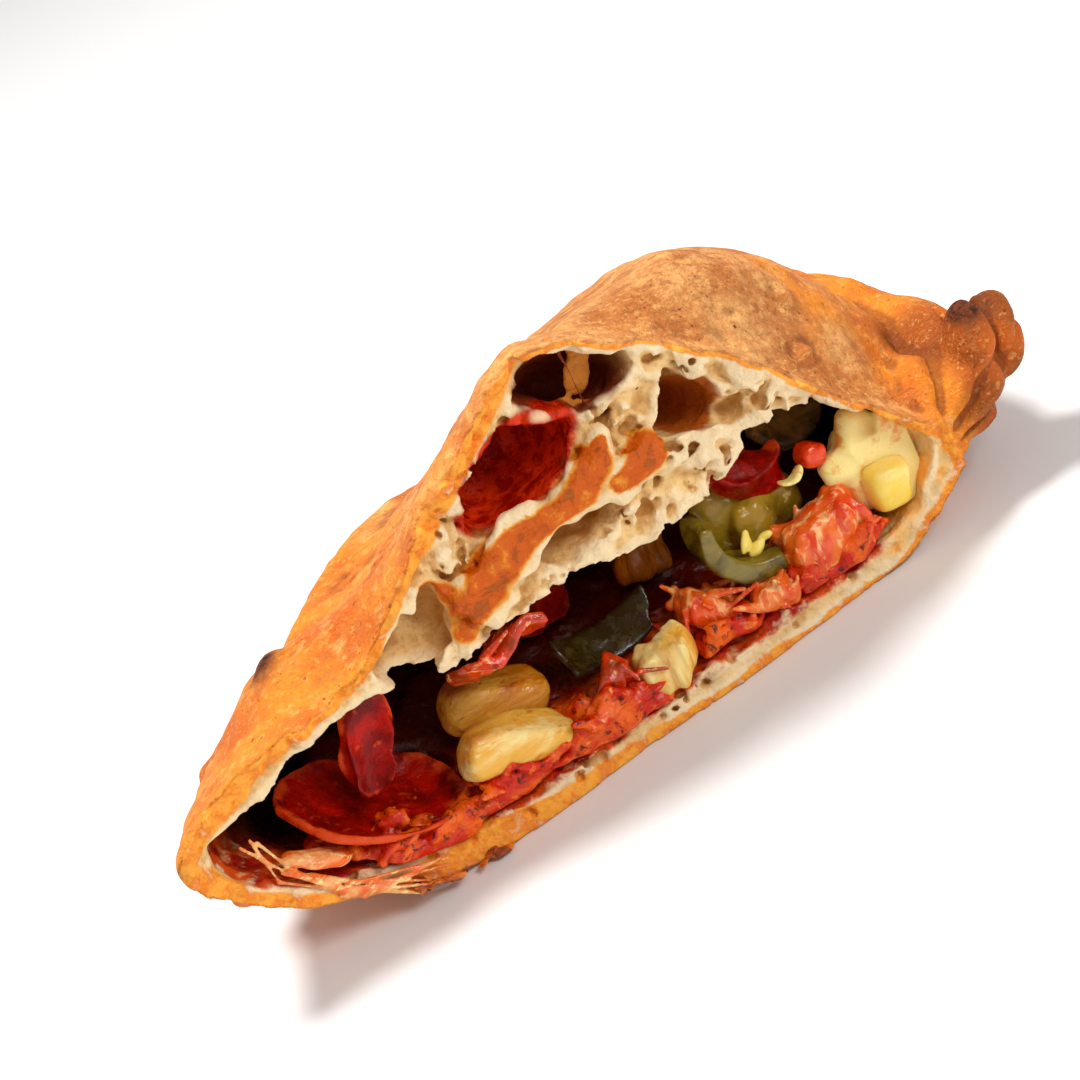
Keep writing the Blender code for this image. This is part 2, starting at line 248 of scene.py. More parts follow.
def eggs(block, values, shapes, soft=0.0):
    """Adds eggs, each given as its centre, radii and turn, to the field."""
    for centre, radii, turn in shapes:
        egg(block, values, centre, radii, turn, soft)


def blend_low(a, b, soft):
    """The lower of two fields, with the crease between them filled over soft millimetres."""
    if soft <= 0:
        return np.minimum(a, b)
    near = np.clip(soft - np.abs(a - b), 0, None) / soft
    return np.minimum(a, b) - near * near * soft / 4


def rod(block, values, start, end, thick_start, thick_end, soft=0.8):
    """Adds a tapering rod between two points to the field."""
    start, end = np.asarray(start, float), np.asarray(end, float)
    middle, half = (start + end) / 2, np.linalg.norm(end - start) / 2
    slices, (dx, dy, dz) = block.window(middle, half + max(thick_start, thick_end) + soft + 1)
    run = end - start
    offset = middle - start
    dx, dy, dz = dx + offset[0], dy + offset[1], dz + offset[2]
    t = np.clip((dx * run[0] + dy * run[1] + dz * run[2]) / (run @ run), 0, 1)
    gap = np.sqrt((dx - t * run[0]) ** 2 + (dy - t * run[1]) ** 2 + (dz - t * run[2]) ** 2)
    body = gap - (thick_start + (thick_end - thick_start) * t)
    values[slices] = blend_low(values[slices], body, soft)


# ---- meshes ----


def mesh_points(mesh):
    """A mesh's points in section millimetres."""
    points = np.zeros(3 * len(mesh.vertices))
    mesh.vertices.foreach_get("co", points)
    return unplace(points.reshape(-1, 3))


def node_mesh(node):
    """A CAD node's points in section millimetres, and its triangles."""
    mesh = frame["nodes"][node].data
    mesh.calc_loop_triangles()
    faces = np.zeros(3 * len(mesh.loop_triangles), int)
    mesh.loop_triangles.foreach_get("vertices", faces)
    return mesh_points(mesh), faces.reshape(-1, 3)


def put(name, data):
    """A new object in the scene."""
    thing = bpy.data.objects.new(name, data)
    bpy.context.scene.collection.objects.link(thing)
    return thing


def new_piece(name, points, faces, finish, slot, replaced=()):
    """A smooth mesh object from section points, riding on the root body and wearing its material."""
    mesh = bpy.data.meshes.new(name)
    mesh.vertices.add(len(points))
    mesh.vertices.foreach_set("co", place(points).astype(np.float32).ravel())
    mesh.loops.add(3 * len(faces))
    mesh.loops.foreach_set("vertex_index", np.asarray(faces, np.int32).ravel())
    mesh.polygons.add(len(faces))
    mesh.polygons.foreach_set("loop_start", np.arange(0, 3 * len(faces), 3, dtype=np.int32))
    mesh.polygons.foreach_set("use_smooth", np.ones(len(faces), bool))
    mesh.update(calc_edges=True)
    mesh.validate()
    mesh.materials.append(finish)
    piece = put(name, mesh)
    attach(piece, "root")
    if replaced:
        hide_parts(*replaced)
    return piece


def paint(piece, name, values):
    """Keeps one number for each of the mesh's points, for its material to read."""
    layer = piece.data.attributes.new(name, "FLOAT", "POINT")
    layer.data.foreach_set("value", np.asarray(values, np.float32))


def thin_out(piece, keep):
    """Collapses edges where the surface is plainest until keep of the faces are left."""
    modifier = piece.modifiers.new("thin_out", "DECIMATE")
    modifier.ratio = keep
    graph = bpy.context.evaluated_depsgraph_get()
    thinned = bpy.data.meshes.new_from_object(piece.evaluated_get(graph))
    piece.modifiers.remove(modifier)
    piece.data = thinned


# ---- materials ----


def tone(red, green, blue):
    """A colour given as the eye reads it, 0 to 255 a channel, as the shader's linear numbers."""
    parts = [c / 255 for c in (red, green, blue)]
    return tuple(c / 12.92 if c <= 0.04045 else ((c + 0.055) / 1.055) ** 2.4 for c in parts)


# How light spreads inside a food: the metres it goes in red, green and blue, and a scale on all three.
BREAD_GLOW = ((0.004, 0.002, 0.001), 0.5)
FOOD_GLOW = ((0.004, 0.002, 0.0012), 0.7)
MEAT_GLOW = ((0.003, 0.0008, 0.0005), 0.5)
FRUIT_GLOW = ((0.005, 0.003, 0.001), 0.7)
COAT_ROUGHNESS = 0.1


class Look:
    """A material put together by short calls. Each call adds a node and returns its output."""

    def __init__(self, name):
        self.material = bpy.data.materials.new(name)
        self.material.use_nodes = True
        self.tree = self.material.node_tree
        self.shader = self.tree.nodes["Principled BSDF"]
        self.spot = self.add("ShaderNodeTexCoord").outputs["Object"]

    def add(self, kind, **settings):
        node = self.tree.nodes.new(kind)
        for key, value in settings.items():
            setattr(node, key, value)
        return node

    def feed(self, socket, source):
        """Links source into the socket, or sets the socket to it when it is a number or a colour."""
        if isinstance(source, bpy.types.NodeSocket):
            self.tree.links.new(source, socket)
        elif socket.type == "RGBA":
            socket.default_value = (*source, 1.0)
        else:
            socket.default_value = source

    def painted(self, name):
        """A number that paint() kept at each point."""
        return self.add("ShaderNodeAttribute", attribute_name=name).outputs["Fac"]

    def stretched(self, stretch):
        """The object's own place, times stretch along each axis. Small numbers draw a pattern out."""
        node = self.add("ShaderNodeVectorMath", operation="MULTIPLY")
        self.feed(node.inputs[0], self.spot)
        node.inputs[1].default_value = stretch
        return node.outputs["Vector"]

    def grain(self, size, detail=3.0, roughness=0.55, bend=0.0, stretch=None):
        """Cloudy noise whose clouds are size millimetres across, 0 to 1."""
        node = self.add("ShaderNodeTexNoise")
        self.feed(node.inputs["Vector"], self.stretched(stretch) if stretch else self.spot)
        node.inputs["Scale"].default_value = 1000.0 / size
        node.inputs["Detail"].default_value = detail
        node.inputs["Roughness"].default_value = roughness
        node.inputs["Distortion"].default_value = bend
        return node.outputs["Fac"]

    def cells(self, size):
        """How far each place is from the nearest of scattered dots about size millimetres apart."""
        node = self.add("ShaderNodeTexVoronoi")
        self.feed(node.inputs["Vector"], self.spot)
        node.inputs["Scale"].default_value = 1000.0 / size
        return node.outputs["Distance"]

    def span(self, source, low, high, start=0.0, end=1.0):
        """Carries low..high to start..end, smoothly, and holds it at both ends."""
        node = self.add("ShaderNodeMapRange", interpolation_type="SMOOTHSTEP")
        self.feed(node.inputs["Value"], source)
        for name, value in (("From Min", low), ("From Max", high), ("To Min", start), ("To Max", end)):
            node.inputs[name].default_value = value
        return node.outputs["Result"]

    def maths(self, operation, a, b):
        node = self.add("ShaderNodeMath", operation=operation)
        self.feed(node.inputs[0], a)
        self.feed(node.inputs[1], b)
        return node.outputs[0]

    def mix(self, share, a, b):
        """a where share is 0 and b where it is 1."""
        node = self.add("ShaderNodeMix", data_type="RGBA")
        self.feed(node.inputs[0], share)
        self.feed(node.inputs[6], a)
        self.feed(node.inputs[7], b)
        return node.outputs[2]

    def tinted(self, colour, *coats):
        """Lays coats over a colour: each comes in as its mask goes from low to high, up to its share."""
        for mask, low, high, share, coat in coats:
            colour = self.mix(self.span(mask, low, high, 0.0, share), colour, coat)
        return colour

    def bump(self, height, depth):
        """Relief of depth millimetres."""
        node = self.add("ShaderNodeBump")
        self.feed(node.inputs["Height"], height)
        node.inputs["Distance"].default_value = depth / 1000.0
        return node.outputs["Normal"]

    def done(self, colour, roughness, normal=None, specular=0.5, inner=0.0, glow=FOOD_GLOW, coat=0.0):
        """The material with its shader filled in. inner is the share of light that spreads inside."""
        reach, scale = glow
        for name, value in (
            ("Base Color", colour),
            ("Roughness", roughness),
            ("Specular IOR Level", specular),
            ("Subsurface Weight", inner),
            ("Subsurface Radius", reach),
            ("Subsurface Scale", scale),
            ("Coat Weight", coat),
            ("Coat Roughness", COAT_ROUGHNESS),
        ):
            self.feed(self.shader.inputs[name], value)
        if normal:
            self.feed(self.shader.inputs["Normal"], normal)
        return self.material


# ---- the dough ----

CRUST_GOLD = tone(242, 140, 30)
CRUST_ORANGE = tone(210, 98, 16)
CRUST_TAN = tone(228, 158, 90)
CRUST_RUSSET = tone(200, 118, 54)
CRUST_PALE = tone(252, 192, 112)
CRUST_DARK = tone(118, 52, 12)
ROPE_BROWN = tone(166, 80, 16)
# near-black: char on the crust and the flakes, and painted shade in the crumb's pits and on the shaded pepper
# strip
CHAR_AND_SHADE = tone(44, 18, 6)
EDGE_GOLD = tone(255, 172, 62)
EDGE_ORANGE = tone(236, 124, 26)
CRUMB = tone(240, 200, 134)
# the painted highlight on the crumb's bumps
CRUMB_HIGHLIGHT = tone(252, 230, 188)
# tan clouds over the crumb, and painted shade in its hollows
CRUMB_SHADE = tone(186, 124, 52)
CRISP = tone(208, 90, 0)
CRISP_LIGHT = tone(238, 150, 34)
CRISP_DARK = tone(138, 48, 0)
SAUCE_STAIN = tone(226, 84, 8)
DEEP_RED = tone(164, 16, 0)
BRIGHT_RED = tone(226, 56, 10)
# painted shade in the high hollow: dark brown on its walls, dim amber on the web across it
CAVE_SHADE = tone(118, 42, 4)
WEB_SHADE = tone(214, 130, 44)
# painted shade on the walls of the window through the crumb
WINDOW_SHADE = tone(178, 88, 12)
# the near-black of the painted shade deep inside the calzone
HOLLOW_SHADE = tone(40, 10, 2)

SKIN_LEFT = 2.6  # of crumb that is always left under the skin
MOST_FACES = 195000  # of the baked dough
BLISTERS = 90
PORES = 5000

# The raised folds of the rim behind the dome on the right: centre, radii and turn.
RIM_FOLDS = tuple(
    (centre, (9.5, 5.6, 6.4), (0, 0, bearing))
    for centre, bearing in (
        ((157.0, 72.0, 28.5), -56),
        ((165.0, 60.5, 29.0), -62),
        ((170.5, 47.5, 26.5), -70),
        ((174.0, 34.5, 23.0), -76),
    )
)
BURNT_BUBBLE = (33.0, 25.0, 50.0)  # on the left shoulder

# Hollows that the knife opened in the crumb: centre, radii and turn.
RED_BUBBLE = ((85.0, 3.0, 60.8), (12.8, 19.0, 6.9), (-14, -16, 0))
HIGH_BUBBLE = ((101.0, 2.0, 69.4), (9.8, 16.0, 5.8), (-22, 18, 0))
WINDOW = ((118.3, 1.0, 52.4), (5.9, 20.0, 4.9), (-12, 34, 0))
PALE_POCKETS = (
    ((88.0, -1.0, 43.0), (9.5, 10.0, 3.2), (0, -10, 0)),  # under the flap
    ((59.8, 0.0, 45.5), (4.2, 13.0, 7.0), (-8, 18, 0)),  # on the left
    ((131.0, 2.0, 38.5), (8.5, 18.0, 3.8), (0, 16, 0)),  # over the filling on the right
    ((124.5, 0.0, 46.5), (3.2, 7.0, 2.0), (0, 30, 0)),
    ((104.0, 0.0, 60.0), (3.0, 6.0, 1.6), (0, -20, 0)),
    ((149.0, 2.0, 17.5), (6.5, 12.0, 8.5), (0, 20, 0)),  # round the cheese
)

# Walls of crumb left standing in the hollows: centre, radii and turn.
WEB = ((103.4, 6.0, 67.8), (2.3, 1.0, 6.8), (0, 31, 0))
MEMBRANES = (
    ((92.4, 5.0, 67.2), (8.5, 9.0, 1.8), (0, 33, 0)),  # between the two upper hollows
    ((111.6, 3.0, 58.6), (3.2, 9.0, 5.6), (0, 34, 0)),  # left of the window
    WEB,
)

# The string across the high hollow: start, end, and the thickness at each.
STRING = ((101.2, 3.0, 74.5), (101.6, 3.5, 62.5), 0.3, 0.25)

# The lip of browned dough under the long hollow, the browned blob by it and the scorched patch on the left:
# (x, z, half width) across the cut.
FLAP = (
    (99.8, 57.8, 1.2),
    (97.3, 54.9, 3.2),
    (92.8, 51.9, 3.3),
    (87.8, 50.9, 2.3),
    (81.5, 51.0, 2.8),
    (76.5, 49.8, 3.9),
    (70.4, 46.8, 4.7),
    (66.5, 44.5, 3.4),
)
BLOB = ((99.2, 49.2, 1.7), (103.0, 49.5, 2.9), (106.6, 50.6, 3.9))
SCORCH = ((61.5, 50.5, 2.6), (65.5, 46.0, 3.6), (64.0, 41.0, 2.6))


def smooth_solid(block, filled, width, reach):
    """The signed distance to a true/false solid whose steps are blurred away."""
    soft = blur(filled.astype(np.float32), width / block.step)
    return block.distance(*block.skin((0.5 - soft) * 8), reach)


def dough_forms(block):
    """Distances to the dough's outer skin, and to the hollows in it, both carried on past the cut."""
    solid = block.distance(*node_mesh("dough"), 2.0)
    behind_cut = int(round((3.0 - block.low[1]) / block.step))
    end = int(round((CUT_END - block.low[0]) / block.step))
    solid[:end, :behind_cut] = solid[:end, behind_cut : behind_cut + 1]
    inside = solid < 0
    above = np.maximum.accumulate(inside, axis=2)
    below = np.maximum.accumulate(inside[:, :, ::-1], axis=2)[:, :, ::-1]
    filled = above & below
    outer = smooth_solid(block, filled, 1.2, 7.0)
    hollow = smooth_solid(block, filled & ~inside, 0.8, 4.0)
    return outer, hollow


def crust_relief(block):
    """The crust's lumps, and the wrinkles that run along its top right side."""
    x, y, z = block.axes()
    relief = 0.9 * block.noise(19, 11) + 0.32 * block.noise(8, 12)
    relief += 0.26 * block.noise(3.4, 13) + 0.18 * block.noise(1.7, 14)
    side = ease(70, 105, x + 0.0 * y) * ease(22, 40, z)
    relief -= 0.55 * side * np.clip(0.35 - block.crests((17, 5.5, 5.0), 15), 0, 1)
    return relief * ease(1.0, 6.0, z)


def rope_folds(block):
    """Creases that fan out from the cut's lower right corner, and the rings round the crimp's last finger."""
    x, y, z = block.axes()
    wander = block.noise(7, 16)
    fan = np.abs(np.sin(7.0 * np.arctan2(z - 15.0, x - 155.0) + 0.7 * wander))
    rings = np.abs(np.sin((z - 0.3 * x + 2.0 * wander) * 0.42))
    leaning = x - 0.17 * (z - 25)
    finger = ease(176.5, 178.5, leaning)
    relief = (1 - finger) * 2.1 * (fan - 0.7) + finger * 1.3 * (rings - 0.7)
    relief -= 1.6 * bell(leaning, 177.2, 1.1) * ease(18, 24, z)
    return relief * ease(158, 165, x) * (1 - ease(16, 28, y)) * ease(4, 10, z)


def blisters(block, outer, field):
    """Small blisters on the crust, and the burnt bubble on its left shoulder."""
    points, _ = block.skin(outer)
    draw = np.random.default_rng(31)
    for spot in points[draw.integers(0, len(points), BLISTERS)]:
        if spot[2] < 15 or spot[1] < 5 or spot[0] > 150:
            continue
        size = draw.uniform(0.7, 1.5)
        sunk = spot - np.array([0, 0, 0.8 * size])
        egg(block, field, sunk, (1.5 * size, 1.2 * size, size), soft=2.2)
    shoulder = points[np.argmin(np.linalg.norm(points - BURNT_BUBBLE, axis=1))]
    egg(block, field, shoulder + (0.4, 0, -0.8), (3.2, 3.6, 2.0), (0, -25, 0), soft=1.6)


def crumb_pores(block, outer, hollow):
    """A field of ragged bubbles of many sizes in the cut crumb, small where the crumb is thin."""
    pores = -block.open_field()
    draw = np.random.default_rng(41)
    centres = draw.uniform((2, -0.4, 1), (176, 2.6, 82), (PORES, 3))
    depth = -block.sample(outer, centres)
    wall = block.sample(hollow, centres)
    for centre, below, clear in zip(centres, depth, wall):
        thin = centre[2] < 30 or centre[0] < 50
        room = min(below - 2.0, clear + 0.5) * (0.35 if thin else 1.0)
        if room < 0.4:
            continue
        size = min(0.35 + draw.exponential(0.3), 1.6, room)
        radii = size * draw.uniform(0.6, 1.7, 3)
        egg(block, pores, centre, radii, draw.uniform(-60, 60, 3), soft=0.3, carve=True)
    return pores - 0.7 * block.noise(2.2, 42) - 0.3 * block.noise(1.1, 43)


def cut_face(block, depth):
    """How far in from y = 0 the torn crumb lies, with sharp crests and a set-back from the crust's edge."""
    z = block.axis(2)
    torn = 2.0 * block.crests(8.0, 24) - 2.0 * block.crests(3.6, 25) - 1.2 * block.crests(1.9, 26) + 0.8
    torn = np.maximum(torn, -1.2) * (0.25 + 0.75 * ease(10, 30, z))
    return 0.8 * block.noise((16, 30, 16), 27) + torn + 1.2 * ease(0.8, 4.0, depth)


def browned_lips(block, field):
    """Adds the flap and the blob, which stand out of the cut."""
    for way, behind in ((FLAP, 0.6), (BLOB, -0.2)):
        for (x, z, wide), (next_x, next_z, next_wide) in zip(way, way[1:]):
            slope = -math.degrees(math.atan2(next_z - z, next_x - x))
            for t in (0.0, 0.33, 0.67):
                centre = (x + (next_x - x) * t, behind, z + (next_z - z) * t)
                half = wide + (next_wide - wide) * t
                egg(block, field, centre, (half + 0.8, 1.5, half), (0, slope, 0), soft=1.2)


def hollowed(block, skin, hollow, rough):
    """The hollows of the dough, with ragged walls, kept clear of the skin and crossed by the membranes."""
    x, y, z = block.axes()
    front = 1 - ease(2.5, 12, y + 0 * x)
    thinned_left = 1.3 * (1 - ease(48, 60, x)) * ease(8, 14, z)
    lowered_roof = 4.5 * bell(x, 15, 9) * bell(z, 38, 6) * (1 - ease(4, 12, y))
    kept = SKIN_LEFT + 2.6 * (1 - ease(86, 98, x)) * ease(52, 60, z)
    ragged = -hollow + (thinned_left - lowered_roof) + rough * (0.25 + 0.75 * front)
    walls = block.open_field()
    eggs(block, walls, MEMBRANES, 1.6)
    return blend_low(np.minimum(ragged, -skin - kept + 0.8 * rough), walls - 0.5 * rough, 1.6)


def dough_fields(block):
    """The baked dough, its outer skin and its hollows, each as a field."""
    outer, hollow = dough_forms(block)
    eggs(block, hollow, (RED_BUBBLE, HIGH_BUBBLE, WINDOW, *PALE_POCKETS), 1.0)
    x, y, z = block.axes()
    skin = outer - crust_relief(block) - rope_folds(block)
    blisters(block, outer, skin)
    eggs(block, skin, RIM_FOLDS, 3.0)
    rough = 1.0 * block.noise(5.0, 21) + 0.7 * block.noise(2.4, 22) + 0.25 * block.noise(1.2, 23)
    field = np.maximum(skin, hollowed(block, skin, hollow, rough))
    field = np.maximum(field, crumb_pores(block, outer, hollow))
    cut = cut_face(block, -skin)
    cut = (cut - y) * ease(CRIMP_START, CUT_END, x) - 3 * ease(CUT_END, CRIMP_START, x)
    field = np.maximum(field, cut)
    lips = block.open_field()
    browned_lips(block, lips)
    lips -= 0.7 * rough + 0.5 * block.noise(3.6, 28)
    field = blend_low(field, np.maximum(lips, -1.5 - y + 0.7 * rough), 0.8)
    rod(block, field, *STRING, soft=1.0)
    return np.maximum(field, -z), skin, hollow


def build_dough():
    block = Block((-6, -6, -3), (190, 116, 87), FINE)
    field, skin, hollow = dough_fields(block)
    points, faces = block.skin(field)
    piece = new_piece("dough_baked", points, faces, dough_look(), "crust", ["dough"])
    thin_out(piece, min(MOST_FACES / len(faces), 1.0))
    points = mesh_points(piece.data)
    x, y, z = points.T
    wander = block.sample(block.noise(6, 51), points)
    depth = -block.sample(skin, points)
    marks = {
        "depth": depth,
        # painted light and shade: how far each point stands out of its surroundings, to lighten bumps and
        # darken creases
        "relief_shading": block.sample(blur(field, 1.6 / block.step) - field, points),
        "gold": edge_gilding(x, y, z, depth, wander),
        "warm": warming(x, y, z, wander),
        "toast": toasting(x, y, z),
        "rope": ease(162, 171, x + 3 * wander) * (1 - ease(22, 34, y)),
        "crisp": crisping(points, wander),
        "stain": staining(x, y, z, block.sample(hollow, points), wander),
        "melt": melting(x, y, z),
        "red": coating(points, RED_BUBBLE, 0.2, 1.6),
        # painted shade on the walls of the high hollow
        "high_hollow_shade": coating(points, HIGH_BUBBLE, 0.6, 3.0),
        "web": 1 - ease(1.2, 1.6, egg_length(points, *WEB)),
        # painted shade: near-black further back than the cut and below the roof
        "hollow_shade": ease(9, 28, y) * (1 - ease(30, 42, z)),
        # painted shade on the walls of the window through the crumb
        "tan": coating(points, WINDOW, 0.8, 4.0),
    }
    for name, values in marks.items():
        paint(piece, name, values)


def coating(points, bubble, start, full):
    """1 on the walls of a hollow, from start to full millimetres behind the cut."""
    return (1 - ease(1.06, 1.17, egg_length(points, *bubble))) * ease(start, full, points[:, 1])


def edge_gilding(x, y, z, depth, wander):
    """The crust's cut edge: wide and golden on the upper left, thin and patchy elsewhere."""
    width = 1.1 + 1.1 * np.clip(wander, -0.6, 1.5)
    width += 3.4 * bell(x, 77, 16) * ease(48, 58, z)  # the upper left
    width += 1.8 * ease(138, 152, x) * ease(8, 16, z)  # the right end
    width += (1.6 * bell(x, 60, 50) + 3.6 * bell(x, 46, 17)) * (1 - ease(6, 9, z))  # the base
    width += 1.4 * (1 - ease(55, 66, x)) * ease(8, 14, z) + 2.5 * bell(x, 15, 9) * ease(26, 31, z)  # the nose
    return (1 - ease(width - 0.3, width + 0.7, depth)) * (1 - ease(3, 6, y))


def warming(x, y, z, wander):
    """Where the crust is golden orange: on the left, by the crimp and along the back rim."""
    left = 1 - ease(55, 105, x + 12 * wander)
    corner = ease(147, 160, x + 8 * wander)
    rim = ease(34, 46, y) * ease(100, 116, x) * (1 - ease(24, 30, z))
    return np.maximum(np.maximum(left, corner), rim)


def toasting(x, y, z):
    """How brown the oven has left each place, 0 to 1."""
    knuckle = 1.6 * bell(x, 174.6, 3.6) * bell(y, 7, 6) * ease(29, 36, z)
    finger = 0.7 * bell(x, 182, 6) * bell(y, 11, 7) * ease(22, 33, z)
    under_rope = 0.4 * ease(160, 172, x) * (1 - ease(14, 28, z))
    burnt = 1.3 * bell(x, BURNT_BUBBLE[0], 4.5) * bell(y, BURNT_BUBBLE[1], 6) * ease(40, 47, z)
    ridge = 0.2 * bell(x, 100, 40) * ease(52, 72, z) * ease(3, 14, y)
    return np.clip(knuckle + finger + under_rope + burnt + ridge, 0, 1)


def crisping(points, wander):
    """The browned lips on the crumb, and the scorched patch beside them."""
    near = 1 - ease(1.5, 4.5, points[:, 1])
    lips = np.maximum(line_share(points, FLAP), line_share(points, BLOB))
    scorch = line_share(points, SCORCH) * ease(-0.5, 0.3, wander)
    return np.maximum(lips, scorch) * near


def staining(x, y, z, clear, wander):
    """How far the sauce has soaked into the dough round the filling, 0 to 1."""
    low = 1 - ease(24, 30, z)
    wet = (1 - ease(0.4, 2.4, clear - 0.6 * wander)) * (0.35 + 0.65 * ease(0.5, 3.0, y + wander))
    deep = ease(3, 9, y) * (1 - ease(30, 38, z))
    return np.clip(low * wet * ease(6, 12, x) + deep, 0, 1) * (1 - ease(136, 144, x))


def melting(x, y, z):
    """Where cheese has baked onto the dough at the right end of the filling."""
    return ease(136, 144, x) * ease(0.5, 2.5, y) * (1 - ease(30, 36, z))


def crust_colour(look, relief_shading):
    cloud = look.grain(14, 3, 0.55)
    blotch = look.grain(4.2, 4, 0.65)
    mottle = look.grain(1.5, 4, 0.7)
    fleck = look.grain(1.3, 2, 0.5)
    streak = look.grain(1.8, 4, 0.7, 0.2, (0.28, 1, 1))
    golden = look.tinted(CRUST_GOLD, (cloud, 0.38, 0.64, 1.0, CRUST_ORANGE))
    tan = look.tinted(
        CRUST_TAN,
        (cloud, 0.40, 0.64, 1.0, CRUST_RUSSET),
        (streak, 0.50, 0.66, 0.5, CRUST_DARK),
        (streak, 0.46, 0.34, 0.6, CRUST_PALE),
    )
    crust = look.tinted(
        look.mix(look.painted("warm"), tan, golden),
        (blotch, 0.52, 0.70, 0.45, CRUST_PALE),
        (blotch, 0.48, 0.32, 0.4, CRUST_RUSSET),
    )
    rope = look.tinted(ROPE_BROWN, (cloud, 0.4, 0.62, 1.0, CRUST_ORANGE))
    crust = look.tinted(
        look.mix(look.painted("rope"), crust, rope),
        (mottle, 0.50, 0.62, 0.6, CRUST_RUSSET),
        (mottle, 0.46, 0.34, 0.45, CRUST_PALE),
        (fleck, 0.66, 0.74, 0.7, CRUST_DARK),
        # painted shade: the crust darker in its creases
        (relief_shading, -0.03, -0.3, 0.6, CRUST_DARK),
    )
    toast = look.tinted(CRUST_DARK, (mottle, 0.4, 0.6, 1.0, CHAR_AND_SHADE))
    crust = look.mix(look.painted("toast"), crust, toast)
    return look.tinted(crust, (look.cells(11), 0.05, 0.03, 0.9, CHAR_AND_SHADE))


def crumb_colour(look, relief_shading):
    cream = look.grain(5.5, 4, 0.6)
    blotch = look.grain(3.2, 5, 0.65, 0.2)
    tuft = look.grain(1.5, 4, 0.65)
    crumb = look.tinted(
        CRUMB,
        (cream, 0.44, 0.66, 0.6, CRUMB_SHADE),
        (tuft, 0.48, 0.66, 0.4, CRUMB_SHADE),
        # painted highlight on the crumb's bumps and painted shade in its hollows
        (relief_shading, 0.1, 0.55, 0.75, CRUMB_HIGHLIGHT),
        (relief_shading, 0.0, -0.4, 0.9, CRUMB_SHADE),
        # painted shade: near-black dots for the crumb's small pits
        (look.cells(9), 0.05, 0.03, 0.8, CHAR_AND_SHADE),
    )
    melt = look.tinted(EDGE_GOLD, (cream, 0.4, 0.6, 1.0, CRUMB))
    crisp = look.tinted(CRISP_DARK, (blotch, 0.32, 0.48, 1.0, CRISP), (blotch, 0.54, 0.74, 1.0, CRISP_LIGHT))
    edged = look.maths("MULTIPLY", look.painted("crisp"), look.span(blotch, 0.3, 0.7, 0.7, 1.4))
    crumb = look.tinted(
        look.mix(look.painted("melt"), crumb, melt),
        (edged, 0.1, 0.5, 1.0, CRISP_LIGHT),
        (edged, 0.4, 0.85, 1.0, crisp),
    )
    # painted shade: the window's walls dark tan-brown
    crumb = look.mix(look.painted("tan"), crumb, WINDOW_SHADE)
    # painted shade: the high hollow's walls dark brown, the web in it dim amber
    cave_shade = look.mix(look.painted("web"), CAVE_SHADE, WEB_SHADE)
    crumb = look.mix(look.painted("high_hollow_shade"), crumb, cave_shade)
    patchy = look.span(blotch, 0.3, 0.7, 0.4, 1.5)
    soaked = look.maths("MULTIPLY", look.painted("stain"), patchy)
    soak = look.tinted(SAUCE_STAIN, (cream, 0.4, 0.6, 1.0, DEEP_RED))
    crumb = look.tinted(crumb, (soaked, 0.15, 0.8, 1.0, soak))
    red = look.tinted(DEEP_RED, (blotch, 0.40, 0.58, 1.0, BRIGHT_RED))
    crumb = look.mix(look.painted("red"), crumb, red)
    # painted shade: near-black deep inside the calzone
    crumb = look.mix(look.painted("hollow_shade"), crumb, HOLLOW_SHADE)
    edge = look.tinted(EDGE_ORANGE, (blotch, 0.38, 0.6, 1.0, EDGE_GOLD))
    gilded = look.maths("MULTIPLY", look.painted("gold"), patchy)
    return look.tinted(crumb, (gilded, 0.2, 0.7, 1.0, edge))


def dough_look():
    look = Look("baked_dough")
    relief_shading = look.painted("relief_shading")
    inside = look.span(look.painted("depth"), 0.25, 0.6)
    colour = look.mix(inside, crust_colour(look, relief_shading), crumb_colour(look, relief_shading))
    crust_height = look.mix(0.5, look.grain(0.9, 4, 0.65), look.grain(2.4, 4, 0.65, 0.0, (0.45, 1, 1)))
    crust_height = look.maths("MULTIPLY", crust_height, 2.0)
    crumb_height = look.mix(0.6, look.grain(1.4, 4, 0.6), look.grain(3.4, 4, 0.6))
    crumb_height = look.maths("MULTIPLY", crumb_height, 2.2)
    normal = look.bump(look.mix(inside, crust_height, crumb_height), 0.7)
    matte = look.span(look.grain(2.0, 3, 0.6), 0.3, 0.7, 0.5, 0.75)
    wet = look.maths("MAXIMUM", look.painted("red"), look.painted("crisp"))
    roughness = look.mix(look.span(wet, 0.2, 0.9), matte, (0.2, 0.2, 0.2))
    return look.done(colour, roughness, normal, specular=0.22, inner=0.08, glow=BREAD_GLOW)


# ---- the filling ----

PEPPERONI = tone(186, 14, 0)
PEPPERONI_DEEP = tone(122, 4, 0)
PEPPERONI_RIM = tone(222, 74, 24)
SAUCE_RED = tone(208, 34, 0)
SAUCE_ORANGE = tone(242, 100, 12)
# dark bits in the sauce, and painted shade on its far part
SAUCE_DARK = tone(70, 6, 1)
PINEAPPLE = tone(240, 178, 66)
PINEAPPLE_PALE = tone(255, 230, 156)
PINEAPPLE_AMBER = tone(204, 116, 12)
PINEAPPLE_SHADED = tone(138, 74, 14)
PEPPER_GREEN = tone(128, 108, 18)
PEPPER_DARK = tone(66, 54, 6)
PEPPER_FLESH = tone(176, 140, 36)
PEPPER_SHADED = tone(44, 34, 3)
SEED = tone(255, 220, 104)
HAM = tone(244, 112, 26)
HAM_PALE = tone(255, 190, 120)
HAM_RED = tone(226, 54, 2)
MEAT_BROWN = tone(150, 48, 6)
CHEESE = tone(255, 230, 148)
CHEESE_YELLOW = tone(255, 214, 78)
CHEESE_BROWN = tone(240, 160, 60)
TOMATO = tone(232, 66, 6)
MUSHROOM = tone(140, 104, 50)
